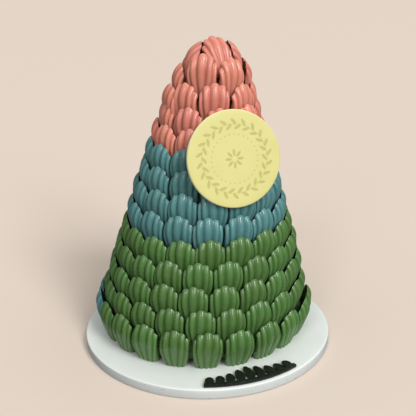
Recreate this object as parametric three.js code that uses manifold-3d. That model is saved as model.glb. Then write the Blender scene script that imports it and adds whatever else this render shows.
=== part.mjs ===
// Chocolate pyramid: rows of ribbed, shell-shaped chocolates stacked into a round cone on a
// white cake board, with a round chocolate medallion leaning on the front of the stack and a
// flat black trim on the board. Millimetres, +Z up, origin under the middle of the board, and
// the front of the stack towards -Y.
import * as THREE from "three";
import { mergeVertices } from "three/addons/utils/BufferGeometryUtils.js";
import Module from "manifold-3d";

const wasm = await Module();
wasm.setup();

// Cake board
const BOARD_RADIUS = 152.5;
const BOARD_THICKNESS = 12;
const BOARD_EDGE_CHAMFER = 1.2;
const BOARD_SIDES = 60;

// One moulded chocolate, measured on its flat back, from the foot to the scalloped tip
const SHELL_LENGTH = 49.5;
const SHELL_WIDTH = 33;
const SHELL_DEPTH = 10.2;
const SHELL_TIP_ROUND = 15.8;
const SHELL_ROW_LINE = 27.1;
const SHELL_FOOT_WIDTH = 28;
const SHELL_FOOT_DEPTH = 7;
const SHELL_NECK_HEIGHT = 6;
const SHELL_PEG = [0, -11, 4];
const SHELL_BELLY_SHARE = 0.76;
const DOME_SQUARENESS = 3;
const DOME_FULLNESS = 0.55;
const TIP_SWEEP = 100;
const FIRST_ROW_NECK = [-1, -0.62, 0, 0.62, 1];
const UPPER_ROW_NECK = [-1, 0, 1];
const RIB_CRESTS = [-0.41, 0, 0.41];
const RIB_GROOVES = [-0.6, -0.22, 0.22, 0.6];
const GROOVE_DEPTH = 1.8;
const TIP_NOTCH_DEPTH = 2.2;

// Rows from the board up: how many chocolates, the azimuth of one of them from the front, the
// radius of their flat backs at the row line, their outward lean in degrees, the height of their
// tips above the board's top, and how much higher the row stands on the right than in front
const ROWS = [
  { count: 21, turn: 1.8, radius: 123.2, lean: 12, tip: 48.4, tilt: -1.6 },
  { count: 21, turn: -2.6, radius: 114.5, lean: 13, tip: 72.5, tilt: 0.7 },
  { count: 20, turn: -6.8, radius: 108.2, lean: 12, tip: 98.4, tilt: 1.8 },
  { count: 19, turn: -5, radius: 101.1, lean: 12, tip: 124.1, tilt: 1.6 },
  { count: 18, turn: 2.3, radius: 93.3, lean: 12, tip: 147.7, tilt: 2.2 },
  { count: 16, turn: 0.5, radius: 85.7, lean: 12, tip: 172.2, tilt: 0 },
  { count: 15, turn: -20, radius: 78.7, lean: 12, tip: 196.9, tilt: 0 },
  { count: 13, turn: -21.5, radius: 71.2, lean: 12, tip: 220.1, tilt: 0 },
  { count: 12, turn: -23.4, radius: 64.3, lean: 12, tip: 244.2, tilt: 0 },
  { count: 11, turn: -21.8, radius: 57, lean: 11, tip: 265.6, tilt: 0 },
  { count: 9, turn: -29, radius: 48.9, lean: 10, tip: 286.6, tilt: 0 },
  { count: 8, turn: 4, radius: 40.7, lean: 8, tip: 310.8, tilt: -2 },
  { count: 6, turn: -20.5, radius: 30.5, lean: 4, tip: 337.3, tilt: 0 },
  { count: 4, turn: 6, radius: 18.3, lean: -9, tip: 352.6, tilt: 0 },
];

// Chocolates that stand out of their row: turned onward round the stack, moved out from its
// middle, leaning or rolled more than the others, or raised
const IN_ROW = { onward: 0, out: 0, lean: 0, roll: 0, rise: 0 };
const ODD_ONES = [
  { row: 0, places: [4, 5], lean: 3.5 },
  { row: 0, places: [15, 16], lean: 3 },
  { row: 11, places: [0], rise: 3 },
  { row: 11, places: [1], onward: 4, rise: -1 },
  { row: 11, places: [2], out: 2, rise: -2 },
  { row: 11, places: [6], onward: 15, out: 5, rise: -4 },
  { row: 12, places: [0], onward: 3, rise: 6 },
  { row: 12, places: [1], onward: 2 },
  { row: 12, places: [2], onward: 10, out: 6, rise: -6 },
  { row: 12, places: [5], out: 4, lean: -1, rise: -8 },
  { row: 13, places: [0], onward: 28, lean: -17, roll: 4.2, rise: 9.8 },
  { row: 13, places: [1], onward: 8, out: 6.2, lean: -4 },
  { row: 13, places: [3], out: 5.8, lean: -11, rise: 2 },
];
const TIERS = [
  { name: "lower_tier", first: 0, last: 4, colour: 0x527d3e },
  { name: "middle_tier", first: 5, last: 8, colour: 0x55878c },
  { name: "upper_tier", first: 9, last: 13, colour: 0xcd7869 },
];

// Core that carries the rows, and the hand-built stack's unevenness
const CORE_GRIP = 2;
const CORE_GRIP_HEIGHT = 8;
const CORE_SETBACK = 1;
const TIER_JOINT_DROP = 4;
const CORE_SIDES = 26;
const CORE_PEAK_RADIUS = 8;
const CORE_PEAK_DROP = 14;
const STACK_SHIFT = new THREE.Vector2(-5.3, 16);
const STACK_SLANT = 0.047;
const UNEVEN = { shift: 0.3, lean: 0.5, roll: 1, radius: 0.3, height: 0.6 };

// Round medallion: its front face's middle, above the board's top, and the way it faces
const MEDALLION_RADIUS = 54.4;
const MEDALLION_THICKNESS = 5;
const MEDALLION_EDGE_CHAMFER = 0.8;
const MEDALLION_SIDES = 44;
const MEDALLION_MIDDLE = new THREE.Vector3(33.3, -59.2, 235.1);
const MEDALLION_TURN = 18;
const MEDALLION_TILT = 15;

// Flat trim that follows the board's rim: a curved bar with a row of petals
const TRIM_RADIUS = 146;
const TRIM_BAR_WIDTH = 5;
const TRIM_THICKNESS = 3.5;
const TRIM_FROM = -2;
const TRIM_TO = 43;
const TRIM_ARC_STEPS = 9;
const PETAL_WIDTH = 10.5;
const PETAL_LENGTHS = [14, 16, 19, 24, 28, 24, 19, 16, 14];
const PETAL_SIDES = 5;

const GAP = 0.3;
const rad = THREE.MathUtils.degToRad;

// A closed three.js geometry as a solid that can be joined and cut
function toSolid(geometry) {
  const bare = geometry.index ? geometry.toNonIndexed() : geometry.clone();
  bare.deleteAttribute("normal");
  bare.deleteAttribute("uv");
  const merged = mergeVertices(bare, 1e-4);
  const vertProperties = new Float32Array(merged.attributes.position.array);
  const triVerts = new Uint32Array(merged.index.array);
  return new wasm.Manifold(new wasm.Mesh({ numProp: 3, vertProperties, triVerts }));
}

// A solid back as a three.js geometry
function toGeometry(solid) {
  const mesh = solid.getMesh();
  const geometry = new THREE.BufferGeometry();
  geometry.setAttribute("position", new THREE.BufferAttribute(mesh.vertProperties, 3));
  geometry.setIndex(new THREE.BufferAttribute(mesh.triVerts, 1));
  geometry.computeVertexNormals();
  return geometry;
}

// A solid of revolution about Z from [radius, height] corners
function turned(corners, sides) {
  const profile = corners.map(([radius, height]) => new THREE.Vector2(radius, height));
  return new THREE.LatheGeometry(profile, sides).rotateX(Math.PI / 2);
}

// A flat disc on Z = 0 to Z = thickness with broken edges
function flatDisc(radius, thickness, chamfer, sides) {
  return turned(
    [
      [0, 0],
      [radius - chamfer, 0],
      [radius, chamfer],
      [radius, thickness - chamfer],
      [radius - chamfer, thickness],
      [0, thickness],
    ],
    sides,
  );
}

// Repeatable unevenness from -1 to 1 for one chocolate
function uneven(row, place, kind) {
  const wave = Math.sin(row * 12.9898 + place * 78.233 + kind * 37.719) * 43758.5453;
  return 2 * (wave - Math.floor(wave)) - 1;
}

// How deep the dome is across the chocolate, from 1 in the middle to 0 at the sides
function domeAcross(across) {
  return Math.pow(1 - Math.pow(Math.abs(across), DOME_SQUARENESS), DOME_FULLNESS);
}

// Point of the scalloped tip's outline, on the flat back
function tipPoint(across, notch) {
  const sweep = rad(across * TIP_SWEEP);
  const wideLine = SHELL_LENGTH - SHELL_TIP_ROUND;
  return [
    (SHELL_WIDTH / 2 - notch) * Math.sin(sweep),
    0,
    wideLine + (SHELL_TIP_ROUND - notch) * Math.cos(sweep),
  ];
}

// Point of the domed front at its deepest, on the way from the foot to the tip
function bellyPoint(across, groove) {
  const tip = tipPoint(across, 0);
  const footX = (across * SHELL_FOOT_WIDTH) / 2;
  return [
    THREE.MathUtils.lerp(footX, tip[0], SHELL_BELLY_SHARE),
    SHELL_DEPTH * domeAcross(across) - groove,
    tip[2] * SHELL_BELLY_SHARE,
  ];
}

// Point of the foot's outline, at a height above its end
function footPoint(across, height) {
  return [(across * SHELL_FOOT_WIDTH) / 2, SHELL_FOOT_DEPTH * domeAcross(across), height];
}

// One chocolate with few sides: x across, y out from the flat back, z from foot to tip. Its
// front fans out from a short neck into ribs with grooves between. The first row shows its
// feet. In the other rows the neck runs back as a peg into the core, hidden by the row below.
function shellGeometry(neckColumns, footShows) {
  const hollow = { groove: GROOVE_DEPTH, notch: TIP_NOTCH_DEPTH };
  const raised = { groove: 0, notch: 0 };
  const grooves = RIB_GROOVES.map((across) => ({ across, ...hollow }));
  const crests = [-1, ...RIB_CRESTS, 1].map((across) => ({ across, ...raised }));
  const columns = [...grooves, ...crests].sort((a, b) => a.across - b.across);
  const neck = neckColumns.map((across) => footPoint(across, SHELL_NECK_HEIGHT));
  const foot = neckColumns.map((across) => (footShows ? footPoint(across, 0) : SHELL_PEG));
  const belly = columns.map(({ across, groove }) => bellyPoint(across, groove));
  const tip = columns.map(({ across, notch }) => tipPoint(across, notch));
  const peak = tip[(tip.length - 1) / 2];
  const corners = [];
  const face = (a, b, c) => {
    if (a !== b && b !== c && c !== a) {
      corners.push(...a, ...b, ...c);
    }
  };
  const quad = (a, b, c, d) => {
    face(a, b, c);
    face(a, c, d);
  };
  for (let step = 0; step < neck.length - 1; step += 1) {
    quad(foot[step], neck[step], neck[step + 1], foot[step + 1]);
    face(foot[0], foot[step], foot[step + 1]);
  }
  quad(foot.at(-1), neck.at(-1), neck[0], foot[0]);
  for (let column = 0; column < columns.length - 1; column += 1) {
    const neckOf = (place) => Math.round((place * (neck.length - 1)) / (columns.length - 1));
    const here = neck[neckOf(column)];
    const next = neck[neckOf(column + 1)];
    face(here, belly[column], belly[column + 1]);
    face(here, belly[column + 1], next);
    quad(belly[column], tip[column], tip[column + 1], belly[column + 1]);
    face(peak, tip[column + 1], tip[column]);
  }
  const back = [tip[0], belly[0], neck[0], neck.at(-1), belly.at(-1), tip.at(-1)];
  for (let step = 0; step < back.length - 1; step += 1) {
    face(peak, back[step], back[step + 1]);
  }
  const geometry = new THREE.BufferGeometry();
  geometry.setAttribute("position", new THREE.Float32BufferAttribute(corners, 3));
  return geometry;
}

const FIRST_ROW_SHELL = shellGeometry(FIRST_ROW_NECK, true);
const UPPER_ROW_SHELL = shellGeometry(UPPER_ROW_NECK, false);

// Foot of a row: radius of the flat back and height above the board's top
function rowFoot(row) {
  const { radius, lean, tip } = ROWS[row];
  return {
    radius: radius - SHELL_ROW_LINE * Math.sin(rad(lean)),
    height: tip - SHELL_LENGTH * Math.cos(rad(lean)),
  };
}

// Where one chocolate stands in the stack
function shellPlace(row, place) {
  const { count, turn, lean, tilt } = ROWS[row];
  const foot = rowFoot(row);
  const odd = { ...IN_ROW, ...ODD_ONES.find((one) => one.row === row && one.places.includes(place)) };
  const aside = (UNEVEN.shift / ROWS[row].radius) * uneven(row, place, 0);
  const azimuth = rad(turn + odd.onward + (360 * place) / count) + aside;
  const outward = lean + odd.lean + UNEVEN.lean * uneven(row, place, 1);
  const roll = odd.roll + UNEVEN.roll * uneven(row, place, 2);
  const radius = foot.radius + odd.out + UNEVEN.radius * uneven(row, place, 3);
  const rise = odd.rise + tilt * Math.sin(azimuth) + UNEVEN.height * uneven(row, place, 4);
  const height = BOARD_THICKNESS + foot.height + rise;
  return new THREE.Matrix4()
    .makeRotationZ(Math.PI + azimuth)
    .multiply(new THREE.Matrix4().makeTranslation(0, radius, height))
    .multiply(new THREE.Matrix4().makeRotationX(-rad(outward)))
    .multiply(new THREE.Matrix4().makeRotationY(rad(roll)));
}

// All chocolates of a run of rows
function shellSolids(firstRow, lastRow) {
  const solids = [];
  for (let row = firstRow; row <= lastRow; row += 1) {
    for (let place = 0; place < ROWS[row].count; place += 1) {
      const shell = row === 0 ? FIRST_ROW_SHELL : UPPER_ROW_SHELL;
      solids.push(toSolid(shell.clone().applyMatrix4(shellPlace(row, place))));
    }
  }
  return solids;
}

// Height of the joint under a tier, above the board's top
function tierFloor(tier) {
  return tier.first === 0 ? 0 : rowFoot(tier.first).height - TIER_JOINT_DROP;
}

// Radius of the core at a row's foot: it grips the first row and takes the pegs of the others
function coreRadius(row) {
  return rowFoot(row).radius + (row === 0 ? CORE_GRIP : -CORE_SETBACK);
}

// The stretch of core that carries one tier, bent between the rows and not at their feet
function coreSolid(index) {
  const tier = TIERS[index];
  const above = TIERS[index + 1];
  const bottom = BOARD_THICKNESS + tierFloor(tier) + GAP;
  const corners = [[coreRadius(tier.first), bottom]];
  if (tier.first === 0) {
    corners.push([coreRadius(0), bottom + CORE_GRIP_HEIGHT]);
  }
  for (let row = tier.first; row < tier.last; row += 1) {
    const radius = (coreRadius(row) + coreRadius(row + 1)) / 2;
    const height = (rowFoot(row).height + rowFoot(row + 1).height) / 2;
    corners.push([radius, BOARD_THICKNESS + height]);
  }
  const peakHeight = ROWS[tier.last].tip - CORE_PEAK_DROP;
  const top = BOARD_THICKNESS + (above ? tierFloor(above) : peakHeight);
  corners.push([above ? coreRadius(above.first) : CORE_PEAK_RADIUS, top]);
  return toSolid(turned([[0, bottom], ...corners, [0, top]], CORE_SIDES));
}

// Everything below the board's top face, as a block that trims the first row's feet flat
function boardSpace() {
  const block = new THREE.BoxGeometry(4 * BOARD_RADIUS, 4 * BOARD_RADIUS, 4 * BOARD_THICKNESS);
  block.translate(0, 0, BOARD_THICKNESS + GAP - 2 * BOARD_THICKNESS);
  return toSolid(block);
}

// The stack as it stands, set back from the board's middle and slanted a little to one side
const stackSlant = new THREE.Matrix4()
  .makeTranslation(STACK_SHIFT.x - STACK_SLANT * BOARD_THICKNESS, STACK_SHIFT.y, 0)
  .multiply(new THREE.Matrix4().makeShear(0, 0, 0, 0, STACK_SLANT, 0));

// Place of the medallion's flat back
const medallionPlace = new THREE.Matrix4()
  .makeTranslation(MEDALLION_MIDDLE.x, MEDALLION_MIDDLE.y, MEDALLION_MIDDLE.z + BOARD_THICKNESS)
  .multiply(new THREE.Matrix4().makeRotationZ(rad(MEDALLION_TURN)))
  .multiply(new THREE.Matrix4().makeRotationX(rad(90 - MEDALLION_TILT)))
  .multiply(new THREE.Matrix4().makeTranslation(0, 0, -MEDALLION_THICKNESS));

function medallionGeometry(margin) {
  const disc = flatDisc(
    MEDALLION_RADIUS + margin,
    MEDALLION_THICKNESS + 2 * margin,
    MEDALLION_EDGE_CHAMFER,
    MEDALLION_SIDES,
  );
  return disc.translate(0, 0, -margin);
}

// One tier: its core with its chocolates joined on. The board trims the first row's feet flat,
// and what would reach into the medallion is cut away.
function tierGeometry(index) {
  const { first, last } = TIERS[index];
  const joined = wasm.Manifold.union([coreSolid(index), ...shellSolids(first, last)]);
  const trimmed = index === 0 ? joined.subtract(boardSpace()) : joined;
  const leaning = toSolid(toGeometry(trimmed).applyMatrix4(stackSlant));
  const medallionSpace = medallionGeometry(GAP).applyMatrix4(medallionPlace);
  return toGeometry(leaning.subtract(toSolid(medallionSpace)));
}

// A point on the board at a distance from its middle and an azimuth from the front
function onBoard(radius, azimuth) {
  return new THREE.Vector2(radius * Math.sin(rad(azimuth)), -radius * Math.cos(rad(azimuth)));
}

// The trim's curved bar, as an outline along one rim and back along the other
function trimBarSolid() {
  const outline = [];
  for (let step = 0; step <= TRIM_ARC_STEPS; step += 1) {
    const azimuth = THREE.MathUtils.lerp(TRIM_FROM, TRIM_TO, step / TRIM_ARC_STEPS);
    outline.push(onBoard(TRIM_RADIUS + TRIM_BAR_WIDTH / 2, azimuth));
  }
  for (let step = TRIM_ARC_STEPS; step >= 0; step -= 1) {
    const azimuth = THREE.MathUtils.lerp(TRIM_FROM, TRIM_TO, step / TRIM_ARC_STEPS);
    outline.push(onBoard(TRIM_RADIUS - TRIM_BAR_WIDTH / 2, azimuth));
  }
  const settings = { depth: TRIM_THICKNESS, bevelEnabled: false };
  return toSolid(new THREE.ExtrudeGeometry(new THREE.Shape(outline), settings));
}

// One petal of the trim: a flat oval that points to the middle of the board
function petalSolid(length, place) {
  const azimuth = THREE.MathUtils.lerp(TRIM_FROM, TRIM_TO, (place + 0.5) / PETAL_LENGTHS.length);
  const middle = onBoard(TRIM_RADIUS - length / 2, azimuth);
  const oval = new THREE.Shape();
  oval.absellipse(middle.x, middle.y, PETAL_WIDTH / 2, length / 2, 0, 2 * Math.PI, false, rad(azimuth));
  const settings = { depth: TRIM_THICKNESS, bevelEnabled: false, curveSegments: PETAL_SIDES };
  return toSolid(new THREE.ExtrudeGeometry(oval, settings));
}

function trimGeometry() {
  const petals = PETAL_LENGTHS.map(petalSolid);
  return toGeometry(wasm.Manifold.union([trimBarSolid(), ...petals]));
}

function named(name, geometry, colour, roughness) {
  const material = new THREE.MeshStandardMaterial({ color: colour, roughness, metalness: 0 });
  const mesh = new THREE.Mesh(geometry, material);
  mesh.name = name;
  return mesh;
}

const pyramid = new THREE.Group();

const boardShape = flatDisc(BOARD_RADIUS, BOARD_THICKNESS, BOARD_EDGE_CHAMFER, BOARD_SIDES);
pyramid.add(named("board", boardShape, 0xdde2de, 0.45));

TIERS.forEach((tier, index) => {
  pyramid.add(named(tier.name, tierGeometry(index), tier.colour, 0.3));
});

const medallion = named("medallion", medallionGeometry(0), 0xede99b, 0.45);
medallion.applyMatrix4(medallionPlace);
pyramid.add(medallion);

const trim = named("trim", trimGeometry(), 0x141918, 0.2);
trim.position.z = BOARD_THICKNESS + GAP;
pyramid.add(trim);

export default pyramid;
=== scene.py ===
# %% [markdown]
# The chocolate pyramid is a table centrepiece: fourteen rings of moulded, shell-shaped
# chocolates stacked into a round cone on a white cake board, with a round chocolate disc leaning
# on the front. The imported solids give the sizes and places, and this lesson dresses them with
# the real forms and finishes. Lengths are real millimetres unless a line says otherwise, and
# they are turned to metres where a mesh is made.

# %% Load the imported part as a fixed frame
import math
from collections import namedtuple

import bpy
from mathutils import Matrix, Vector


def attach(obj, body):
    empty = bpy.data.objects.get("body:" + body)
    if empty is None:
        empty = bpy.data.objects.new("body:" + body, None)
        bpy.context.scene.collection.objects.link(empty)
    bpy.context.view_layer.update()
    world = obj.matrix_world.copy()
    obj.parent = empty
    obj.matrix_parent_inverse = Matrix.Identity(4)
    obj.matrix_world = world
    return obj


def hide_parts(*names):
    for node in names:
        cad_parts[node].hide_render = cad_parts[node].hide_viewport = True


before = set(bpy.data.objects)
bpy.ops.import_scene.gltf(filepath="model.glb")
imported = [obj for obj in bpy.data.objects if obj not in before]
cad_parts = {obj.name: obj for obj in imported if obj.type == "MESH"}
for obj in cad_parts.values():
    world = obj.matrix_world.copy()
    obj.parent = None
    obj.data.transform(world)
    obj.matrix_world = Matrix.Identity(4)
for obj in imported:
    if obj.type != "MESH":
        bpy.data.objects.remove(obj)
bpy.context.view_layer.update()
scene = bpy.context.scene
MM = 0.001

# %% [markdown]
# The camera stands where the photographer stood: about a metre away, a little above the tower,
# looking down by 21 degrees and held one degree off level. A lens given as a focal length in
# pixels becomes millimetres on Blender's 36 mm sensor, and the small shift puts the lens axis
# back where the crop of the picture left it.

# %% Camera at the photo's viewing angle
IMAGE_SIDE = 416
SENSOR_WIDTH = 36
FOCAL_PIXELS = 800
AXIS_PIXEL = (205.3, 212.6)
AIM_HEIGHT = 162
CAMERA_DISTANCE = 964.6
CAMERA_ELEVATION = math.radians(20.77)
CAMERA_ROLL = math.radians(-1)

camera_data = bpy.data.cameras.new("camera")
camera_data.sensor_width = SENSOR_WIDTH
camera_data.lens = FOCAL_PIXELS / IMAGE_SIDE * SENSOR_WIDTH
camera_data.shift_x = (IMAGE_SIDE / 2 - AXIS_PIXEL[0]) / IMAGE_SIDE
camera_data.shift_y = (AXIS_PIXEL[1] - IMAGE_SIDE / 2) / IMAGE_SIDE
camera = bpy.data.objects.new("camera", camera_data)
scene.collection.objects.link(camera)
scene.camera = camera

back = Vector((0, -math.cos(CAMERA_ELEVATION), math.sin(CAMERA_ELEVATION)))
camera.location = (Vector((0, 0, AIM_HEIGHT)) + CAMERA_DISTANCE * back) * MM
level = (-back).to_track_quat("-Z", "Y").to_matrix()
camera.rotation_euler = (level @ Matrix.Rotation(CAMERA_ROLL, 3, "Z")).to_euler()
print("camera at", [round(x, 3) for x in camera.location], "lens", round(camera_data.lens, 1))

# %% [markdown]
# A few small helpers serve every finish below. Colours are written as the sRGB hex values that a
# picture editor shows, and the shader wants linear light, so one function turns them. Node trees
# are long to write by hand, so one function adds a node, sets it and links its inputs. A third
# turns the real size of a pattern into the scale that a noise texture wants.

# %% Helpers for colours and node trees
def linear(hex_colour):
    """An sRGB hex colour as linear RGBA, by the two branches of the sRGB curve."""
    channels = [int(hex_colour[start:start + 2], 16) / 255 for start in (1, 3, 5)]
    return [c / 12.92 if c <= 0.04045 else ((c + 0.055) / 1.055) ** 2.4 for c in channels] + [1]


def add(tree, kind, inputs=None, **settings):
    """Adds a node, sets its properties, then fills each input with a value or a link."""
    node = tree.nodes.new(kind)
    for name, value in settings.items():
        setattr(node, name, value)
    for key, value in (inputs or {}).items():
        if isinstance(value, bpy.types.NodeSocket):
            tree.links.new(value, node.inputs[key])
        else:
            node.inputs[key].default_value = value
    return node


def per_metre(size):
    """Texture scale that makes a noise feature about this many millimetres across."""
    return 1 / (size * MM)


def new_finish(name):
    """A material with an empty shader tree."""
    material = bpy.data.materials.new(name)
    material.use_nodes = True
    material.node_tree.nodes.clear()
    return material, material.node_tree


print("white as linear light:", linear("#ffffff"), "scale of 5 mm noise:", per_metre(5))

# %% [markdown]
# The light is a plain soft studio. The key stands at the front right as two lamps, one above the
# other, and a weaker pair stands at the left: each lamp leaves a small bright spot on a glossy
# rib, and two of them run together into the short streaks that show the ribs. A broad ceiling
# lightens what faces up and a weak pale room fills the rest. Sun lamps light the whole floor
# evenly, as large far windows do.

# %% Light
ROOM_COLOUR = "#f6f3ee"
ROOM_STRENGTH = 0.16


def sun(name, azimuth, elevation, spread, strength):
    """A far lamp, by its azimuth from the front, elevation and spread in degrees."""
    data = bpy.data.lights.new(name, "SUN")
    data.angle = math.radians(spread)
    data.energy = strength
    lamp = bpy.data.objects.new(name, data)
    side, up = math.radians(azimuth), math.radians(elevation)
    level_reach = math.cos(up)
    towards = Vector((math.sin(side) * level_reach, -math.cos(side) * level_reach, math.sin(up)))
    lamp.rotation_euler = (-towards).to_track_quat("-Z", "Y").to_euler()
    scene.collection.objects.link(lamp)


sun("key", azimuth=38, elevation=44, spread=22, strength=1.6)
sun("low_key", azimuth=30, elevation=26, spread=16, strength=0.7)
sun("lamp", azimuth=-25, elevation=40, spread=14, strength=0.32)
sun("low_lamp", azimuth=-22, elevation=26, spread=14, strength=0.2)
sun("ceiling", azimuth=40, elevation=75, spread=150, strength=1.5)

scene.view_settings.view_transform = "Standard"
world = bpy.data.worlds.new("studio")
world.use_nodes = True
room = world.node_tree.nodes["Background"].inputs
room["Color"].default_value = linear(ROOM_COLOUR)
room["Strength"].default_value = ROOM_STRENGTH
scene.world = world

# %% [markdown]
# The floor is one plain sheet in matt pale paint, which scatters light evenly and shows no
# highlight. It is large enough that its edge stays out of the photo's view and far off in lower
# ones. It is kept out of bounced light and reflections, since so large a pale surface would grey
# the colours of the chocolates.

# %% Floor
FLOOR_SIDE_METRES = 14
FLOOR_COLOUR = "#d9cabc"
FLOOR_ROUGHNESS = 0.8

floor_finish, tree = new_finish("matt pale paint")
shader = add(tree, "ShaderNodeBsdfPrincipled", {
    "Base Color": linear(FLOOR_COLOUR), "Roughness": FLOOR_ROUGHNESS,
})
add(tree, "ShaderNodeOutputMaterial", {"Surface": shader.outputs["BSDF"]})
half = FLOOR_SIDE_METRES / 2
floor_corners = [(-half, -half, 0), (half, -half, 0), (half, half, 0), (-half, half, 0)]
floor_mesh = bpy.data.meshes.new("floor")
floor_mesh.from_pydata(floor_corners, [], [(0, 1, 2, 3)])
floor_mesh.materials.append(floor_finish)
floor = bpy.data.objects.new("floor", floor_mesh)
scene.collection.objects.link(floor)
floor.visible_diffuse = False
floor.visible_glossy = False
print("floor:", FLOOR_SIDE_METRES, "m square")

# %% [markdown]
# The shells are solid chocolate cast in a polished mould that was first painted with coloured
# cocoa butter, so the ribbed front is a smooth coloured film with a satin gloss while the flat
# back stays bare dark chocolate. One finish serves all three colours. It reads three values that
# the mesh carries: which faces are the back, how high a point is on its rib, and a tone from
# -1 to 1 that differs from shell to shell. The grooves are painted a deeper colour as painted
# shade, and the film is faintly mottled.

# %% Colour of the moulded film
DARK_CHOCOLATE = "#33231c"
# Most of a noise texture lies between these values.
NOISE_REACH = (0.3, 0.7)
MOTTLE_SPREAD = 0.07
TONE_SPREAD = 0.06
NEUTRAL_HUE = 0.5
HUE_SPREAD = 0.004


def film_colour(tree, mottle, film_hex, groove_shade_hex):
    """Colour socket of the painted front and the bare back."""
    rib, tone, bare_back = [
        add(tree, "ShaderNodeAttribute", attribute_name=carried).outputs["Fac"]
        for carried in ("rib", "tone", "bare_back")
    ]
    # The groove colour is painted shade, darker where the rib falls to its groove.
    film = add(tree, "ShaderNodeMix", {
        "Factor": rib, "A": linear(groove_shade_hex), "B": linear(film_hex),
    }, data_type="RGBA")
    shell_value = add(tree, "ShaderNodeMapRange", {
        "Value": tone, "From Min": -1.0, "From Max": 1.0,
        "To Min": 1 - TONE_SPREAD, "To Max": 1 + TONE_SPREAD,
    })
    cloud_value = add(tree, "ShaderNodeMapRange", {
        "Value": mottle, "From Min": NOISE_REACH[0], "From Max": NOISE_REACH[1],
        "To Min": 1 - MOTTLE_SPREAD, "To Max": 1 + MOTTLE_SPREAD,
    })
    value = add(tree, "ShaderNodeMath", {
        0: shell_value.outputs["Result"], 1: cloud_value.outputs["Result"],
    }, operation="MULTIPLY")
    hue = add(tree, "ShaderNodeMapRange", {
        "Value": tone, "From Min": -1.0, "From Max": 1.0,
        "To Min": NEUTRAL_HUE - HUE_SPREAD, "To Max": NEUTRAL_HUE + HUE_SPREAD,
    })
    toned = add(tree, "ShaderNodeHueSaturation", {
        "Color": film.outputs["Result"],
        "Value": value.outputs["Value"],
        "Hue": hue.outputs["Result"],
    })
    colour = add(tree, "ShaderNodeMix", {
        "Factor": bare_back, "A": toned.outputs["Color"], "B": linear(DARK_CHOCOLATE),
    }, data_type="RGBA")
    return colour.outputs["Result"]


print("bare chocolate as linear light:", [round(c, 3) for c in linear(DARK_CHOCOLATE)])

# %% [markdown]
# A polished mould leaves a smooth film, so the eye sees small bright highlights along the ribs,
# a little softer where the film is mottled. Fats such as cocoa butter have an IOR near 1.46.
# Fine pits break the highlights up.

# %% Finish of the moulded chocolates
COCOA_BUTTER_IOR = 1.46
FILM_ROUGHNESS = (0.17, 0.24)
MOTTLE_SIZE = 9
# Real pits are finer than this. They are drawn as coarse as they need to be to show.
PIT_SIZE = 1.6
PIT_DEPTH = 0.3
PIT_STRENGTH = 0.12


def moulded_chocolate(name, film_hex, groove_shade_hex):
    """Painted cocoa butter film: even colour, a soft sheen, painted shade in the grooves."""
    material, tree = new_finish(name)
    place = add(tree, "ShaderNodeTexCoord").outputs["Object"]
    mottle = add(tree, "ShaderNodeTexNoise", {
        "Vector": place, "Scale": per_metre(MOTTLE_SIZE), "Detail": 3,
    }).outputs["Fac"]
    gloss = add(tree, "ShaderNodeMapRange", {
        "Value": mottle, "From Min": NOISE_REACH[0], "From Max": NOISE_REACH[1],
        "To Min": FILM_ROUGHNESS[0], "To Max": FILM_ROUGHNESS[1],
    })
    pits = add(tree, "ShaderNodeTexNoise", {
        "Vector": place, "Scale": per_metre(PIT_SIZE), "Detail": 2,
    })
    relief = add(tree, "ShaderNodeBump", {
        "Height": pits.outputs["Fac"], "Strength": PIT_STRENGTH, "Distance": PIT_DEPTH * MM,
    })
    shader = add(tree, "ShaderNodeBsdfPrincipled", {
        "Base Color": film_colour(tree, mottle, film_hex, groove_shade_hex),
        "Roughness": gloss.outputs["Result"],
        "Normal": relief.outputs["Normal"],
        "IOR": COCOA_BUTTER_IOR,
    })
    add(tree, "ShaderNodeOutputMaterial", {"Surface": shader.outputs["BSDF"]})
    return material


# The second colour of each is the painted shade of its grooves.
green_film = moulded_chocolate("green cocoa butter on chocolate", "#547742", "#3f6426")
teal_film = moulded_chocolate("teal cocoa butter on chocolate", "#5a8988", "#417274")
coral_film = moulded_chocolate("coral cocoa butter on chocolate", "#d98977", "#bf6b58")
print("films:", [m.name for m in bpy.data.materials if "cocoa butter" in m.name])

# %% [markdown]
# One chocolate is a shell: a flat back, a domed front with five ribs that fan out from a narrow
# foot, the middle one the broadest, and a scalloped round tip. Sculpting it would take long and
# differ from the solid, so a rule makes it: every rib runs from the foot to the tip's arc, the
# dome gives its height, and a rounded profile across each rib cuts the grooves, deep at the tip,
# shallow in the middle and a little deeper again at the foot.

# %% The rule of a shell's front
# Shares are parts of the depth, or of the way from foot to tip.
SHELL_LENGTH = 49.5
SHELL_WIDTH = 34
SHELL_DEPTH = 10.7
TIP_ROUND = 15.8
TIP_SWEEP = math.radians(100)
TIP_NOTCH = 2.6
FOOT_WIDTH = 26
SIDE_BOW = 0.16
FOOT_SQUARENESS = 4
TIP_SQUARENESS = 3
DOME_FULLNESS = 0.55
GROOVE_SHARE = 0.14
TIP_GROOVE_SHARE = 0.38
TIP_GROOVE_FADE = 1.3
FOOT_GROOVE_SHARE = 0.18
FOOT_GROOVE_FADE = 5
BELLY_SHARE = 0.61
FOOT_DEPTH_SHARE = 0.7
HEEL_SHARE = 0.06
HEEL_ROUND = 0.25
TIP_ROUNDNESS = 0.75


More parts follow.
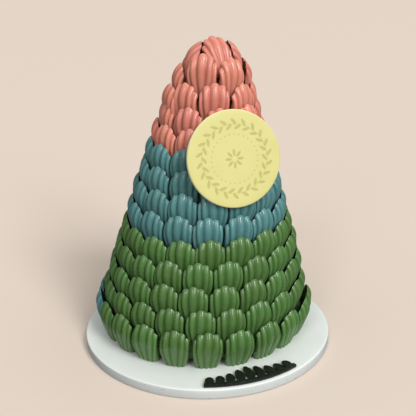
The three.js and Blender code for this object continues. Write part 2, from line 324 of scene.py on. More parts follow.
def front_point(across, rib, along):
    """A point of the ribbed front: x across, y out from the flat back, z from foot to tip."""
    notch = TIP_NOTCH * (1 - rib)
    tip_x = (SHELL_WIDTH / 2 - notch) * math.sin(across * TIP_SWEEP)
    tip_z = SHELL_LENGTH - TIP_ROUND + (TIP_ROUND - notch) * math.cos(across * TIP_SWEEP)
    bow = 1 + SIDE_BOW * math.sin(math.pi * along)
    x = ((1 - along) * across * FOOT_WIDTH / 2 + along * tip_x) * bow
    squareness = FOOT_SQUARENESS + (TIP_SQUARENESS - FOOT_SQUARENESS) * along
    dome = (1 - abs(across) ** squareness) ** DOME_FULLNESS
    groove = GROOVE_SHARE + (TIP_GROOVE_SHARE - GROOVE_SHARE) * along ** TIP_GROOVE_FADE
    groove += FOOT_GROOVE_SHARE * (1 - along) ** FOOT_GROOVE_FADE
    to_belly = min(1, along / BELLY_SHARE)
    past_belly = max(0, (along - BELLY_SHARE) / (1 - BELLY_SHARE))
    rise = FOOT_DEPTH_SHARE + (1 - FOOT_DEPTH_SHARE) * math.sin(math.pi / 2 * to_belly)
    heel = 1 - HEEL_ROUND * (1 - min(1, along / HEEL_SHARE)) ** 2
    fall = (1 - past_belly ** 2) ** TIP_ROUNDNESS
    depth = SHELL_DEPTH * dome * (1 - groove * (1 - rib)) * rise * heel * fall
    return x, depth, tip_z * along


print("depth at the belly:", round(front_point(0, 1, BELLY_SHARE)[1], 1), "mm")

# %% [markdown]
# The rule is sampled on lines that run along the ribs and on sections across them. The sections
# crowd together where the form turns fast, by a cosine spacing, so few faces are enough. Each
# line knows its height on its rib, which rises from the groove to the crest as an arch.

# %% Lines and sections of a shell
RIB_EDGES = [-1, -0.6, -0.22, 0.22, 0.6, 1]
RIB_CREST = 2
RIB_STEPS = 8
LENGTH_STEPS = 16


def even(steps):
    """Shares from 0 to 1 in equal steps."""
    return [step / steps for step in range(steps + 1)]


def eased(steps):
    """Shares from 0 to 1 that crowd together at both ends."""
    return [(1 - math.cos(math.pi * share)) / 2 for share in even(steps)]


def rib_columns():
    """(place across from -1 to 1, height on the rib from 0 to 1) of each lengthwise line."""
    columns = [(-1, 0)]
    for low, high in zip(RIB_EDGES, RIB_EDGES[1:]):
        for share in even(RIB_STEPS)[1:]:
            height = 1 - abs(2 * share - 1) ** RIB_CREST
            columns.append((low + (high - low) * share, height))
    return columns


print("lines along the ribs:", len(rib_columns()), "sections:", len(eased(LENGTH_STEPS)))

# %% [markdown]
# Faces between the lines and sections make the front. One face closes the back and one the foot.
# The mesh carries the height on the rib for each point and marks its bare back, and the rim of
# both closing faces is kept sharp.

# %% One chocolate as a mesh
def chocolate_mesh():
    """The shell as a closed mesh that carries its rib heights and marks its bare back."""
    columns = rib_columns()
    lines = eased(LENGTH_STEPS)
    wide = len(columns)
    points = [front_point(across, rib, along) for along in lines for across, rib in columns]

    def at(line, column):
        return line * wide + column

    front = [
        (at(line, column), at(line + 1, column), at(line + 1, column + 1), at(line, column + 1))
        for line in range(LENGTH_STEPS) for column in range(wide - 1)
    ]
    sole = [at(0, column) for column in range(wide)]
    left_up = [at(line, 0) for line in range(LENGTH_STEPS)]
    tip_across = [at(LENGTH_STEPS, column) for column in range(wide)]
    right_down = [at(line, wide - 1) for line in reversed(range(LENGTH_STEPS))]
    back_face = left_up + tip_across + right_down
    mesh = bpy.data.meshes.new("chocolate")
    mesh.from_pydata([Vector(p) * MM for p in points], [], front + [sole, back_face[::-1]])
    rib_heights = [rib for _ in lines for _, rib in columns]
    bare = [0.0] * len(front) + [0.0, 1.0]
    mesh.attributes.new("rib", "FLOAT", "POINT").data.foreach_set("value", rib_heights)
    mesh.attributes.new("bare_back", "FLOAT", "FACE").data.foreach_set("value", bare)
    mesh.polygons.foreach_set("use_smooth", [True] * len(mesh.polygons))
    rim = set(zip(sole, sole[1:])) | set(zip(back_face, back_face[1:] + back_face[:1]))
    rim |= {(b, a) for a, b in rim}
    for edge in mesh.edges:
        edge.use_edge_sharp = tuple(edge.vertices) in rim
    mesh.validate()
    return mesh


def triangles(mesh):
    """How many triangles a mesh makes."""
    return sum(len(polygon.vertices) - 2 for polygon in mesh.polygons)


def in_mm(piece):
    """A piece's outer sizes in millimetres."""
    return [round(size / MM, 1) for size in piece.dimensions]


chocolate = bpy.data.objects.new("chocolate", chocolate_mesh())
scene.collection.objects.link(chocolate)
print("one chocolate:", triangles(chocolate.data), "triangles,", in_mm(chocolate), "mm")

# %% [markdown]
# The tower is built by hand, ring on ring, each chocolate with its foot behind the tips of the
# ring below. A row is a count, a starting azimuth, a radius, an outward lean, the height of its
# tips above the board and a small tilt up to the right, the same values as the solids have. A
# few chocolates stand clearly out of their row, such as the last one that leans over to close
# the top. The whole tower stands a little behind the middle of the board, which leaves room in
# front, and slants a little to the right.

# %% Rows of the tower
Row = namedtuple("Row", "count turn radius lean tip tilt")
ROWS = [
    Row(21, 1.8, 123.2, 12, 48.4, -1.6),
    Row(21, -2.6, 114.5, 13, 72.5, 0.7),
    Row(20, -6.8, 108.2, 12, 98.4, 1.8),
    Row(19, -5, 101.1, 12, 124.1, 1.6),
    Row(18, 2.3, 93.3, 12, 147.7, 2.2),
    Row(16, 0.5, 85.7, 12, 172.2, 0),
    Row(15, -20, 78.7, 12, 196.9, 0),
    Row(13, -21.5, 71.2, 12, 220.1, 0),
    Row(12, -23.4, 64.3, 12, 244.2, 0),
    Row(11, -21.8, 57, 11, 265.6, 0),
    Row(9, -29, 48.9, 10, 286.6, 0),
    Row(8, 4, 40.7, 8, 310.8, -2),
    Row(6, -20.5, 30.5, 4, 337.3, 0),
    Row(4, 6, 18.3, -9, 352.6, 0),
]
# How far up a shell its row's radius is measured.
ROW_LINE = 27.1
# How a chocolate stands out of its row: degrees onward, out, degrees of lean and roll, and up.
Odd = namedtuple("Odd", "onward out lean roll rise", defaults=[0] * 5)
ODD_ONES = {
    (0, 4): Odd(lean=3.5),
    (0, 5): Odd(lean=3.5),
    (0, 15): Odd(lean=3),
    (0, 16): Odd(lean=3),
    (11, 0): Odd(rise=3),
    (11, 1): Odd(onward=4, rise=-1),
    (11, 2): Odd(out=2, rise=-2),
    (11, 6): Odd(onward=15, out=5, rise=-4),
    (12, 0): Odd(onward=3, rise=6),
    (12, 1): Odd(onward=2),
    (12, 2): Odd(onward=10, out=6, rise=-6),
    (12, 5): Odd(out=4, lean=-1, rise=-8),
    (13, 0): Odd(onward=28, lean=-17, roll=4.2, rise=9.8),
    (13, 1): Odd(onward=8, out=6.2, lean=-4),
    (13, 3): Odd(out=5.8, lean=-11, rise=2),
}
BOARD_TOP = 12
STACK_SHIFT = Vector((-5.3, 16))
# Millimetres to the right for each one up.
STACK_SLANT = 0.047
print("rows:", len(ROWS), "chocolates:", sum(row.count for row in ROWS))

# %% [markdown]
# No hand sets every chocolate alike, so each stands a little unevenly. Random numbers would
# differ from the solids, so the unevenness comes from a fixed rule: the far digits of a large
# sine, which look random and are the same each time. A matrix then stands the chocolate in its
# row: rolled, leaned, put out to its radius and height, and turned to its azimuth.

# %% Place of one chocolate
UNEVEN = {"shift": 0.3, "lean": 0.5, "roll": 1, "radius": 0.3, "height": 0.6, "tone": 1}
SINE_STEPS = (12.9898, 78.233, 37.719)
SINE_GAIN = 43758.5453


def uneven(row, place, kind):
    """Repeatable unevenness of one kind for one chocolate, to both sides of zero."""
    numbers = (row, place, list(UNEVEN).index(kind))
    wave = math.sin(sum(n * step for n, step in zip(numbers, SINE_STEPS))) * SINE_GAIN
    return UNEVEN[kind] * (2 * (wave - math.floor(wave)) - 1)


def row_foot(row):
    """Radius of a row's flat backs at the foot, and the foot's height above the board."""
    lean = math.radians(row.lean)
    return row.radius - ROW_LINE * math.sin(lean), row.tip - SHELL_LENGTH * math.cos(lean)


def chocolate_place(number, place):
    """Matrix that stands one chocolate in its row, in millimetres, before the tower's slant."""
    row = ROWS[number]
    odd = ODD_ONES.get((number, place), Odd())
    off = {kind: uneven(number, place, kind) for kind in UNEVEN}
    foot_radius, foot_height = row_foot(row)
    azimuth = math.radians(row.turn + odd.onward + 360 * place / row.count)
    azimuth += off["shift"] / row.radius
    lean = math.radians(row.lean + odd.lean + off["lean"])
    roll = math.radians(odd.roll + off["roll"])
    radius = foot_radius + odd.out + off["radius"]
    rise = odd.rise + row.tilt * math.sin(azimuth) + off["height"]
    return (
        Matrix.Rotation(math.pi + azimuth, 4, "Z")
        @ Matrix.Translation((0, radius, BOARD_TOP + foot_height + rise))
        @ Matrix.Rotation(-lean, 4, "X")
        @ Matrix.Rotation(roll, 4, "Y")
    )


print("first foot at", [round(x, 1) for x in chocolate_place(0, 0).translation], "mm")

# %% [markdown]
# Stacking 193 shells one by one is work for Geometry Nodes. A few helpers serve both trees of
# this lesson: one starts a tree with named inputs, and one runs it on a start mesh. A modifier
# knows its inputs by the identifiers of their sockets. The result is kept as a plain mesh, so that
# an export has it too.

# %% Helpers for geometry trees
def new_tree(name, inputs):
    """A geometry tree with named inputs, and the outputs of its input node."""
    tree = bpy.data.node_groups.new(name, "GeometryNodeTree")
    tree.interface.new_socket("Geometry", in_out="INPUT", socket_type="NodeSocketGeometry")
    for label, kind in inputs.items():
        tree.interface.new_socket(label, in_out="INPUT", socket_type="NodeSocket" + kind)
    tree.interface.new_socket("Geometry", in_out="OUTPUT", socket_type="NodeSocketGeometry")
    return tree, add(tree, "NodeGroupInput").outputs


def plain_mesh(piece):
    """A piece's mesh as its modifiers leave it."""
    return bpy.data.meshes.new_from_object(
        piece.evaluated_get(bpy.context.evaluated_depsgraph_get())
    )


def grow(name, start, tree, values):
    """Runs a tree on a start mesh and keeps the result as a plain mesh."""
    piece = bpy.data.objects.new(name, start)
    modifier = piece.modifiers.new("grow", "NODES")
    modifier.node_group = tree
    for socket in tree.interface.items_tree:
        if socket.in_out == "INPUT" and socket.name in values:
            modifier[socket.identifier] = values[socket.name]
    scene.collection.objects.link(piece)
    grown = plain_mesh(piece)
    piece.modifiers.remove(modifier)
    piece.data = grown
    grown.name = name
    return piece


print("geometry trees so far:", len(bpy.data.node_groups))

# %% [markdown]
# Each colour starts as a mesh of bare points that carry a turn and a tone. The tree stands a
# shell on every point, makes the instances real, slants the whole tower to one side as the real
# one slants, sets it back on the board and gives the finish.

# %% A tree that stacks chocolates on points
def stacking_tree():
    """Stands a shell on each point and slants the whole stack."""
    tree, given = new_tree("stack of chocolates", {
        "Chocolate": "Object",
        "Shift": "Float",
        "Set Back": "Float",
        "Slant": "Float",
        "Board Top": "Float",
        "Finish": "Material",
    })
    shell = add(tree, "GeometryNodeObjectInfo", {"Object": given["Chocolate"]})
    turn = add(
        tree, "GeometryNodeInputNamedAttribute", {"Name": "turn"}, data_type="FLOAT_VECTOR"
    )
    rotation = add(tree, "FunctionNodeEulerToRotation", {"Euler": turn.outputs["Attribute"]})
    stand = add(tree, "GeometryNodeInstanceOnPoints", {
        "Points": given["Geometry"],
        "Instance": shell.outputs["Geometry"],
        "Rotation": rotation.outputs["Rotation"],
    })
    real = add(tree, "GeometryNodeRealizeInstances", {"Geometry": stand.outputs["Instances"]})
    place = add(tree, "GeometryNodeInputPosition")
    height = add(tree, "ShaderNodeSeparateXYZ", {"Vector": place.outputs["Position"]})
    above = add(tree, "ShaderNodeMath", {
        0: height.outputs["Z"], 1: given["Board Top"],
    }, operation="SUBTRACT")
    aside = add(tree, "ShaderNodeMath", {
        0: above.outputs["Value"], 1: given["Slant"], 2: given["Shift"],
    }, operation="MULTIPLY_ADD")
    offset = add(tree, "ShaderNodeCombineXYZ", {
        "X": aside.outputs["Value"], "Y": given["Set Back"],
    })
    slanted = add(tree, "GeometryNodeSetPosition", {
        "Geometry": real.outputs["Geometry"], "Offset": offset.outputs["Vector"],
    })
    painted = add(tree, "GeometryNodeSetMaterial", {
        "Geometry": slanted.outputs["Geometry"], "Material": given["Finish"],
    })
    add(tree, "NodeGroupOutput", {"Geometry": painted.outputs["Geometry"]})
    return tree


stack = stacking_tree()
print("tree inputs:", [s.name for s in stack.interface.items_tree if s.in_out == "INPUT"])

# %% [markdown]
# The tower has three colours in bands: five green rows, four teal and five coral. Two teal
# shells went in among the green ones low on the left, as happens in handwork, so the sorting rule
# knows them by row and place.

# %% Green, teal and coral chocolates
GREEN_ROWS = range(0, 5)
TEAL_ROWS = range(5, 9)
CORAL_ROWS = range(9, 14)
STRAY_TEAL = {(0, 15), (0, 16)}


def stack_chocolates(name, places, finish):
    """Makes one colour's chocolates as one piece."""
    matrices = [chocolate_place(row, place) for row, place in places]
    points = bpy.data.meshes.new(name + "_points")
    points.from_pydata([m.translation * MM for m in matrices], [], [])
    turns = [angle for m in matrices for angle in m.to_euler()]
    points.attributes.new("turn", "FLOAT_VECTOR", "POINT").data.foreach_set("vector", turns)
    tones = [uneven(row, place, "tone") for row, place in places]
    points.attributes.new("tone", "FLOAT", "POINT").data.foreach_set("value", tones)
    piece = grow(name, points, stack, {
        "Chocolate": chocolate,
        "Shift": STACK_SHIFT.x * MM,
        "Set Back": STACK_SHIFT.y * MM,
        "Slant": STACK_SLANT,
        "Board Top": BOARD_TOP * MM,
        "Finish": finish,
    })
    print(name, len(places), "chocolates,", triangles(piece.data), "triangles")
    return piece


everywhere = [(number, place) for number, row in enumerate(ROWS) for place in range(row.count)]
green_places = [p for p in everywhere if p[0] in GREEN_ROWS and p not in STRAY_TEAL]
teal_places = [p for p in everywhere if p[0] in TEAL_ROWS or p in STRAY_TEAL]
coral_places = [p for p in everywhere if p[0] in CORAL_ROWS]
green_chocolates = stack_chocolates("green_chocolates", green_places, green_film)
teal_chocolates = stack_chocolates("teal_chocolates", teal_places, teal_film)
coral_chocolates = stack_chocolates("coral_chocolates", coral_places, coral_film)
bpy.data.objects.remove(chocolate)

# %% [markdown]
# Three of the other pieces are round, so a lathe would turn them: the core behind the shells, the
# disc and the board. One function does what a lathe does, with a profile of corners about the
# upright axis. Its two ends lie on the axis and become single points, so the mesh is closed
# without a seam. Screw or Spin would do the same, but would need their doubles merged.

# %% Helpers for turned pieces
def turned(name, profile, sides):
    """Turns (radius, height) corners in millimetres about Z into a closed mesh."""
    points = [(0, 0, profile[0][1])]
    for radius, height in profile[1:-1]:
        for side in range(sides):
            angle = 2 * math.pi * side / sides
            points.append((radius * math.cos(angle), radius * math.sin(angle), height))
    points.append((0, 0, profile[-1][1]))
    last = len(profile) - 3

    def at(level, side):
        return 1 + level * sides + side % sides

    faces = [(0, at(0, s + 1), at(0, s)) for s in range(sides)]
    for low in range(last):
        high = low + 1
        faces += [(at(low, s), at(low, s + 1), at(high, s + 1), at(high, s)) for s in range(sides)]
    faces += [(len(points) - 1, at(last, s), at(last, s + 1)) for s in range(sides)]
    mesh = bpy.data.meshes.new(name)
    mesh.from_pydata([Vector(p) * MM for p in points], [], faces)
    mesh.polygons.foreach_set("use_smooth", [True] * len(faces))
    return mesh


def as_piece(name, mesh, finish):
    """Puts a mesh in the scene with its finish."""
    mesh.materials.clear()
    mesh.materials.append(finish)
    piece = bpy.data.objects.new(name, mesh)
    scene.collection.objects.link(piece)
    print(name + ":", triangles(mesh), "triangles,", in_mm(piece), "mm")
    return piece


# %% [markdown]
# Behind the shells stands a cone that carries them, seen only as dark stripes in the gaps. A
# turned profile is enough: it follows the backs of each row for half of their height, as a bed
# does that the shells were pressed on, then draws in to the next row. It is shifted and slanted
# as the tower is.

# %% Shape of the core
CORE_BASE_SETBACK = 16
BED_LOW = 10
BED_HIGH = 26
BED_GAP = 0.3
BEDDED_ROWS = range(0, 11)
CORE_SIDES = 96
CORE_PEAK_RADIUS = 7
CORE_PEAK_DROP = 14

core_profile = [(0, BOARD_TOP), (row_foot(ROWS[0])[0] - CORE_BASE_SETBACK, BOARD_TOP)]
for number, row in enumerate(ROWS):
    foot_radius, foot_height = row_foot(row)
    for up in (BED_LOW, BED_HIGH) if number in BEDDED_ROWS else (BED_LOW,):
        out = up * math.tan(math.radians(row.lean)) - BED_GAP
        core_profile.append((foot_radius + out, BOARD_TOP + foot_height + up))
core_top = BOARD_TOP + ROWS[-1].tip - CORE_PEAK_DROP
core_profile += [(CORE_PEAK_RADIUS, core_top), (0, core_top)]
core_mesh = turned("dark_core", core_profile, CORE_SIDES)
for vertex in core_mesh.vertices:
    vertex.co.x += STACK_SHIFT.x * MM + STACK_SLANT * (vertex.co.z - BOARD_TOP * MM)
    vertex.co.y += STACK_SHIFT.y * MM
print("core profile:", len(core_profile), "corners, top at", core_top, "mm")

# %% [markdown]
# The stripes in the gaps are their tier's colour in deep shade, so the cone is a rough pour of
# chocolate painted in dark tones of the three tier colours: painted shade that stands for the
# shaded shells seen in the gaps. That gives the eye a matt, lumpy ground with no clear highlight.
# The colour changes at the height where a tier begins, so a comparison of heights picks it, and
# the lumps of the pour darken it a little.

# %% Finish of the core
POUR_LUMP_SIZE = 6
POUR_LUMP_HEIGHT = 1
POUR_LUMP_STRENGTH = 0.5
POUR_DARKENING = 0.3
POUR_ROUGHNESS = 0.55
# Dark tones of the tier colours, painted shade for the gaps between the shells.
CORE_SHADE_GREEN = "#34561f"
CORE_SHADE_TINTS = [(TEAL_ROWS[0], "#406362"), (CORAL_ROWS[0], "#a5604d")]

core_finish, tree = new_finish("rough chocolate in painted shade")
place = add(tree, "ShaderNodeTexCoord").outputs["Object"]
pour = add(tree, "ShaderNodeTexNoise", {
    "Vector": place, "Scale": per_metre(POUR_LUMP_SIZE), "Detail": 4,
})
height = add(tree, "ShaderNodeSeparateXYZ", {"Vector": place})
tint = linear(CORE_SHADE_GREEN)
for first_row, colour in CORE_SHADE_TINTS:
    step = BOARD_TOP + row_foot(ROWS[first_row])[1] + BED_LOW - BED_GAP
    above = add(tree, "ShaderNodeMath", {
        0: height.outputs["Z"], 1: step * MM,
    }, operation="GREATER_THAN")
    tint = add(tree, "ShaderNodeMix", {
        "Factor": above.outputs["Value"], "A": tint, "B": linear(colour),
    }, data_type="RGBA").outputs["Result"]
shade_tinted_pour = add(tree, "ShaderNodeMix", {
    "Factor": POUR_DARKENING, "A": tint, "B": pour.outputs["Fac"],
}, data_type="RGBA", blend_type="MULTIPLY")
lumps = add(tree, "ShaderNodeBump", {
    "Height": pour.outputs["Fac"],
    "Strength": POUR_LUMP_STRENGTH,
    "Distance": POUR_LUMP_HEIGHT * MM,
})
shader = add(tree, "ShaderNodeBsdfPrincipled", {
    "Base Color": shade_tinted_pour.outputs["Result"],
    "Roughness": POUR_ROUGHNESS,
    "Normal": lumps.outputs["Normal"],
    "IOR": COCOA_BUTTER_IOR,
})
add(tree, "ShaderNodeOutputMaterial", {"Surface": shader.outputs["BSDF"]})
dark_core = as_piece("dark_core", core_mesh, core_finish)

# %% [markdown]
# The disc is a thin plaque of chocolate, poured flat, with a small soft round at both edges. A
# turned profile with arcs makes it. A ring of corners a little inside the face's edge keeps the
# smooth shading of the arc from spreading over the flat face. The disc is built flat on the
# origin, and its place, turned to the right and leaning on the tower, is applied to the mesh.

# %% Shape of the medallion
MEDALLION_RADIUS = 54.4
MEDALLION_THICKNESS = 5
MEDALLION_EDGE = 1.6
MEDALLION_FLAT_RING = 6
MEDALLION_SIDES = 160
MEDALLION_MIDDLE = Vector((33.3, -59.2, 235.1 + BOARD_TOP))
MEDALLION_TURN = math.radians(18)
MEDALLION_TILT = math.radians(15)
ARC_STEPS = 5


def arc(middle, radius, start, end):
    """Points of an arc in a (radius, height) profile, angles in degrees from outward to up."""
    angles = [math.radians(start + (end - start) * share) for share in even(ARC_STEPS)]
    return [(middle[0] + radius * math.cos(a), middle[1] + radius * math.sin(a)) for a in angles]


medallion_place = (
    Matrix.Translation(MEDALLION_MIDDLE * MM)
    @ Matrix.Rotation(MEDALLION_TURN, 4, "Z")
    @ Matrix.Rotation(math.pi / 2 - MEDALLION_TILT, 4, "X")
)
inner = MEDALLION_RADIUS - MEDALLION_EDGE
medallion_profile = [
    (0, -MEDALLION_THICKNESS),
    *arc((inner, MEDALLION_EDGE - MEDALLION_THICKNESS), MEDALLION_EDGE, -90, 0),
    *arc((inner, -MEDALLION_EDGE), MEDALLION_EDGE, 0, 90),
    (inner - MEDALLION_FLAT_RING, 0),
    (0, 0),
]
medallion_mesh = turned("yellow_medallion", medallion_profile, MEDALLION_SIDES)
medallion_mesh.transform(medallion_place)
print("medallion profile:", len(medallion_profile), "corners")

# %% [markdown]
# White chocolate tinted pale yellow sets with an even satin face: the eye sees a soft cloud of
# light and no sharp highlight. The rim is painted paler, painted light for the light that the
# board bounces up onto the edge, and a distance from the disc's middle gives it.

# %% Finish of the medallion
WHITE_CHOCOLATE_IOR = 1.45
SATIN_ROUGHNESS = 0.5
# How far in from the edge the painted rim light reaches.
RIM_LIGHT_WIDTH = 1
POUR_CLOUD_SIZE = 22
# Real grain is finer than this. It is drawn as coarse as it needs to be to show.
SATIN_GRAIN_SIZE = 0.9
SATIN_GRAIN_DEPTH = 0.2
SATIN_GRAIN_STRENGTH = 0.08

yellow_finish, tree = new_finish("tinted white chocolate")
place = add(tree, "ShaderNodeTexCoord").outputs["Object"]
cloud = add(tree, "ShaderNodeTexNoise", {
    "Vector": place, "Scale": per_metre(POUR_CLOUD_SIZE), "Detail": 3,
})
yellow = add(tree, "ShaderNodeMix", {
    "Factor": cloud.outputs["Fac"], "A": linear("#d1ca7b"), "B": linear("#d8d28d"),
}, data_type="RGBA")
reach = add(tree, "ShaderNodeVectorMath", {
    0: place, 1: MEDALLION_MIDDLE * MM,
}, operation="DISTANCE")
rim = add(tree, "ShaderNodeMapRange", {
    "Value": reach.outputs["Value"],
    "From Min": (MEDALLION_RADIUS - RIM_LIGHT_WIDTH) * MM,
    "From Max": MEDALLION_RADIUS * MM,
})
# Painted light: a paler rim for the light bounced up onto the edge.
pale = add(tree, "ShaderNodeMix", {
    "Factor": rim.outputs["Result"], "A": yellow.outputs["Result"], "B": linear("#ece8bc"),
}, data_type="RGBA")
grain = add(tree, "ShaderNodeTexNoise", {
    "Vector": place, "Scale": per_metre(SATIN_GRAIN_SIZE), "Detail": 2,
})
skin = add(tree, "ShaderNodeBump", {
    "Height": grain.outputs["Fac"],
    "Strength": SATIN_GRAIN_STRENGTH,
    "Distance": SATIN_GRAIN_DEPTH * MM,
})
shader = add(tree, "ShaderNodeBsdfPrincipled", {
    "Base Color": pale.outputs["Result"],
    "Roughness": SATIN_ROUGHNESS,
    "Normal": skin.outputs["Normal"],
    "IOR": WHITE_CHOCOLATE_IOR,
})
add(tree, "ShaderNodeOutputMaterial", {"Surface": shader.outputs["BSDF"]})
yellow_medallion = as_piece("yellow_medallion", medallion_mesh, yellow_finish)

# %% [markdown]
# The disc carries a faint plain garland: leaves on both sides of a round stem, a ring of dots
# and a small rosette. Each is one pointed or round slip, repeated round a circle, so all of them
# come from one slip rule with a length and a width. The slip is a thin layer of mesh, so that it
# shows in the plain model too.

# %% One slip of ink
INK_THICKNESS = 0.12
SLIP_STEPS = 16
SLIP_POINT = 0.35


def slip_mesh(length, width):
    """A pointed oval slip of ink that starts at the origin and runs along x."""
    low, high = [], []
    for share in even(SLIP_STEPS)[:-1]:
        angle = 2 * math.pi * share
        x = length / 2 * (1 + math.cos(angle))
        y = width / 2 * math.sin(angle) * abs(math.sin(angle)) ** SLIP_POINT
        low.append(Vector((x, y, 0)) * MM)
        high.append(Vector((x, y, INK_THICKNESS)) * MM)
    bottom = range(SLIP_STEPS)
    top = range(SLIP_STEPS, 2 * SLIP_STEPS)
    faces = [(s, (s + 1) % SLIP_STEPS, top[(s + 1) % SLIP_STEPS], top[s]) for s in bottom]
    mesh = bpy.data.meshes.new("slip")
    mesh.from_pydata(low + high, [], faces + [bottom[::-1], top])
    return mesh


print("points of a slip:", 2 * SLIP_STEPS)

# %% [markdown]
# A tree with a radius, a count and two angles repeats the slip round a circle. Every slip follows
# the circle's tangent, then turns by one fixed angle and splays by another, to one side and the
# other in turn, as leaves on a stem do.

# %% A tree that makes a ring of slips
RING_RESOLUTION = 128


def garland_tree():
    """Repeats a slip round a circle, splayed to one side and the other in turn."""
    tree, given = new_tree("garland", {
        "Slip": "Object",
        "Ring Radius": "Float",
        "Count": "Int",
        "Turn": "Float",
        "Splay": "Float",
        "Ink": "Material",
    })
    ring = add(tree, "GeometryNodeCurvePrimitiveCircle", {
        "Resolution": RING_RESOLUTION, "Radius": given["Ring Radius"],
    })
    spaced = add(tree, "GeometryNodeResampleCurve", {
        "Curve": ring.outputs["Curve"], "Count": given["Count"],
    })
    slip = add(tree, "GeometryNodeObjectInfo", {"Object": given["Slip"]})
    tangent = add(tree, "GeometryNodeInputTangent")
    forward = add(tree, "FunctionNodeAlignRotationToVector", {
        "Vector": tangent.outputs["Tangent"],
    }, axis="X")
    index = add(tree, "GeometryNodeInputIndex")
    parity = add(tree, "ShaderNodeMath", {
        0: index.outputs["Index"], 1: 2.0,
    }, operation="MODULO")
    side = add(tree, "ShaderNodeMath", {
        0: parity.outputs["Value"], 1: 2.0, 2: -1.0,
    }, operation="MULTIPLY_ADD")
    angle = add(tree, "ShaderNodeMath", {
        0: side.outputs["Value"], 1: given["Splay"], 2: given["Turn"],
    }, operation="MULTIPLY_ADD")
    about_z = add(tree, "ShaderNodeCombineXYZ", {"Z": angle.outputs["Value"]})
    rotation = add(tree, "FunctionNodeEulerToRotation", {"Euler": about_z.outputs["Vector"]})
    splayed = add(tree, "FunctionNodeRotateRotation", {
        "Rotation": forward.outputs["Rotation"], "Rotate By": rotation.outputs["Rotation"],
    }, rotation_space="LOCAL")
    repeated = add(tree, "GeometryNodeInstanceOnPoints", {
        "Points": spaced.outputs["Curve"],
        "Instance": slip.outputs["Geometry"],
        "Rotation": splayed.outputs["Rotation"],
    })
    real = add(tree, "GeometryNodeRealizeInstances", {"Geometry": repeated.outputs["Instances"]})
    inked = add(tree, "GeometryNodeSetMaterial", {
        "Geometry": real.outputs["Geometry"], "Material": given["Ink"],
    })
    add(tree, "NodeGroupOutput", {"Geometry": inked.outputs["Geometry"]})
    return tree


garland = garland_tree()
print("tree inputs:", [s.name for s in garland.interface.items_tree if s.in_out == "INPUT"])

# %% [markdown]
# Edible ink soaks into the chocolate a little, so it looks matt and a tone deeper than the disc,
# and not quite even. The four rings are grown one by one, joined into one piece and put on the
# disc's face by the disc's own place.

# %% Garland on the medallion
INK_CLOUD_SIZE = 3
INK_ROUGHNESS = 0.6
# Length and width of each slip.
LEAF = (9, 3.4)
STEM = (6.4, 0.6)
DOT = (1.6, 1.6)
PETAL = (8, 3.2)
GARLANDS = [
    {"Slip": LEAF, "Ring Radius": 38, "Count": 44, "Turn": 0, "Splay": 42},
    {"Slip": STEM, "Ring Radius": 38, "Count": 40, "Turn": 0, "Splay": 0},
    {"Slip": DOT, "Ring Radius": 27, "Count": 30, "Turn": 0, "Splay": 0},
    {"Slip": PETAL, "Ring Radius": 3, "Count": 8, "Turn": -90, "Splay": 0},
]

ink, tree = new_finish("edible ink on chocolate")
place = add(tree, "ShaderNodeTexCoord").outputs["Object"]
soak = add(tree, "ShaderNodeTexNoise", {
    "Vector": place, "Scale": per_metre(INK_CLOUD_SIZE), "Detail": 3,
})
olive = add(tree, "ShaderNodeMix", {
    "Factor": soak.outputs["Fac"], "A": linear("#b3ad5f"), "B": linear("#c4be70"),
}, data_type="RGBA")
shader = add(tree, "ShaderNodeBsdfPrincipled", {
    "Base Color": olive.outputs["Result"], "Roughness": INK_ROUGHNESS,
})
add(tree, "ShaderNodeOutputMaterial", {"Surface": shader.outputs["BSDF"]})

rings = []
for number, setting in enumerate(GARLANDS):
    slip = bpy.data.objects.new("slip", slip_mesh(*setting["Slip"]))
    scene.collection.objects.link(slip)
    rings.append(grow(f"garland_{number}", bpy.data.meshes.new("empty"), garland, {
        "Slip": slip,
        "Ring Radius": setting["Ring Radius"] * MM,
        "Count": setting["Count"],
        "Turn": math.radians(setting["Turn"]),
        "Splay": math.radians(setting["Splay"]),
        "Ink": ink,
    }))
    bpy.data.objects.remove(slip)
with bpy.context.temp_override(active_object=rings[0], selected_editable_objects=rings):
    bpy.ops.object.join()
medallion_print = rings[0]
medallion_print.name = "medallion_print"
medallion_print.data.transform(medallion_place)
print("print:", len(medallion_print.data.polygons), "faces")

# %% [markdown]
# The board is a cake drum: thick round card wrapped in film, with a soft fold round both edges.
# A turned profile with small arcs makes it, with a ring of corners inside each edge as on the
# disc.

# %% Shape of the cake board
BOARD_RADIUS = 152.5
BOARD_EDGE = 1.5
BOARD_FLAT_RING = 4
BOARD_SIDES = 192

inner = BOARD_RADIUS - BOARD_EDGE
board_profile = [
    (0, 0),
    (inner - BOARD_FLAT_RING, 0),
    *arc((inner, BOARD_EDGE), BOARD_EDGE, -90, 0),
    *arc((inner, BOARD_TOP - BOARD_EDGE), BOARD_EDGE, 0, 90),
    (inner - BOARD_FLAT_RING, BOARD_TOP),
    (0, BOARD_TOP),
]
board_mesh = turned("cake_board", board_profile, BOARD_SIDES)
print("board profile:", len(board_profile), "corners")

# %% [markdown]
# The film is white polypropylene, smoothed over the card, with an IOR near 1.49. It looks satin
# and takes a weak soft reflection. Handling leaves broad faint smudges on it. The side is a little
# darker all round, with darker specks, and the darkening fades out towards the top.

# %% Finish of the cake board
FILM_IOR = 1.49
FILM_SATIN_ROUGHNESS = 0.42
SMUDGE_SIZE = 45
SPECK_SIZE = 2.2
SPECK_NOISE = (0.70, 0.76)
SIDE_DARKENING = 0.2
SIDE_DARK_FADE_HEIGHT = 8
FILM_WRINKLE_SIZE = 3
FILM_WRINKLE_HEIGHT = 0.3
FILM_WRINKLE_STRENGTH = 0.06

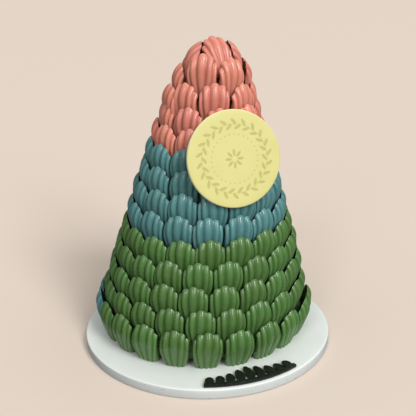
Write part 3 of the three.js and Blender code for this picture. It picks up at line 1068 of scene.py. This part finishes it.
film_finish, tree = new_finish("white film on card")
place = add(tree, "ShaderNodeTexCoord").outputs["Object"]
smudge = add(tree, "ShaderNodeTexNoise", {
    "Vector": place, "Scale": per_metre(SMUDGE_SIZE), "Detail": 5,
})
white = add(tree, "ShaderNodeMix", {
    "Factor": smudge.outputs["Fac"], "A": linear("#d5dad6"), "B": linear("#e8ece8"),
}, data_type="RGBA")
speck = add(tree, "ShaderNodeTexNoise", {
    "Vector": place, "Scale": per_metre(SPECK_SIZE), "Detail": 1,
})
height = add(tree, "ShaderNodeSeparateXYZ", {"Vector": place})
low = add(tree, "ShaderNodeMapRange", {
    "Value": height.outputs["Z"],
    "From Min": SIDE_DARK_FADE_HEIGHT * MM, "From Max": BOARD_TOP * MM,
    "To Min": 1.0, "To Max": 0.0,
})
spot = add(tree, "ShaderNodeMapRange", {
    "Value": speck.outputs["Fac"],
    "From Min": SPECK_NOISE[0], "From Max": SPECK_NOISE[1],
    "To Min": SIDE_DARKENING,
})
# The whole side is darkened a little, and the specks more, fading out towards the top.
side_darkening_with_specks = add(tree, "ShaderNodeMath", {
    0: spot.outputs["Result"], 1: low.outputs["Result"],
}, operation="MULTIPLY")
darkened_side = add(tree, "ShaderNodeMix", {
    "Factor": side_darkening_with_specks.outputs["Value"], "A": white.outputs["Result"], "B": linear("#8f908a"),
}, data_type="RGBA")
grain = add(tree, "ShaderNodeTexNoise", {
    "Vector": place, "Scale": per_metre(FILM_WRINKLE_SIZE), "Detail": 3,
})
wrinkle = add(tree, "ShaderNodeBump", {
    "Height": grain.outputs["Fac"],
    "Strength": FILM_WRINKLE_STRENGTH,
    "Distance": FILM_WRINKLE_HEIGHT * MM,
})
shader = add(tree, "ShaderNodeBsdfPrincipled", {
    "Base Color": darkened_side.outputs["Result"],
    "Roughness": FILM_SATIN_ROUGHNESS,
    "Normal": wrinkle.outputs["Normal"],
    "IOR": FILM_IOR,
})
add(tree, "ShaderNodeOutputMaterial", {"Surface": shader.outputs["BSDF"]})
cake_board = as_piece("cake_board", board_mesh, film_finish)

# %% [markdown]
# A flat black ornament lies along the front of the board, cut from cast acrylic sheet, which has
# an IOR near 1.49. It looks deep black with a near mirror gloss that dust breaks up. The solid
# already has its outline, so the piece is a copy of it: the loose triangles are merged, flat faces
# joined, and a small bevel softens the edges so that they catch the light.

# %% Black trim
ACRYLIC_IOR = 1.49
ACRYLIC_ROUGHNESS = (0.18, 0.38)
DUST_SIZE = 4
TRIM_EDGE = 0.7
MERGE_REACH = 0.01
FLAT_ANGLE = math.radians(2)
EDGE_ANGLE = math.radians(50)

trim_finish, tree = new_finish("gloss black acrylic")
place = add(tree, "ShaderNodeTexCoord").outputs["Object"]
dust = add(tree, "ShaderNodeTexNoise", {
    "Vector": place, "Scale": per_metre(DUST_SIZE), "Detail": 4,
})
sheen = add(tree, "ShaderNodeMapRange", {
    "Value": dust.outputs["Fac"],
    "To Min": ACRYLIC_ROUGHNESS[0], "To Max": ACRYLIC_ROUGHNESS[1],
})
shader = add(tree, "ShaderNodeBsdfPrincipled", {
    "Base Color": linear("#12150f"), "Roughness": sheen.outputs["Result"], "IOR": ACRYLIC_IOR,
})
add(tree, "ShaderNodeOutputMaterial", {"Surface": shader.outputs["BSDF"]})
black_trim = as_piece("black_trim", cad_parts["trim"].data.copy(), trim_finish)
for kind, settings in {
    "WELD": {"merge_threshold": MERGE_REACH * MM},
    "DECIMATE": {"decimate_type": "DISSOLVE", "angle_limit": FLAT_ANGLE},
    "BEVEL": {
        "width": TRIM_EDGE * MM, "segments": 3, "limit_method": "ANGLE", "angle_limit": EDGE_ANGLE,
    },
}.items():
    modifier = black_trim.modifiers.new(kind.lower(), kind)
    for name, value in settings.items():
        setattr(modifier, name, value)
black_trim.data = plain_mesh(black_trim)
black_trim.modifiers.clear()
print("trim with soft edges:", len(black_trim.data.polygons), "faces")

# %% [markdown]
# Last, every piece is tied to the imported part. The food has no joints, so all pieces ride on the
# one body. The shells stand for the three tiers. Every piece but the core, which the photo hardly
# shows, is listed with the slot name of its finish, which the loop does not use.

# %% Ride and replace
PIECES = [
    (green_chocolates, "lower_tier", "green_chocolate"),
    (teal_chocolates, "middle_tier", "teal_chocolate"),
    (coral_chocolates, "upper_tier", "coral_chocolate"),
    (dark_core, None, None),
    (yellow_medallion, "medallion", "yellow_chocolate"),
    (medallion_print, None, "yellow_chocolate"),
    (cake_board, "board", "board_film"),
    (black_trim, "trim", "black_trim"),
]
for piece, node, slot in PIECES:
    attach(piece, "root")
    if node:
        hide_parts(node)
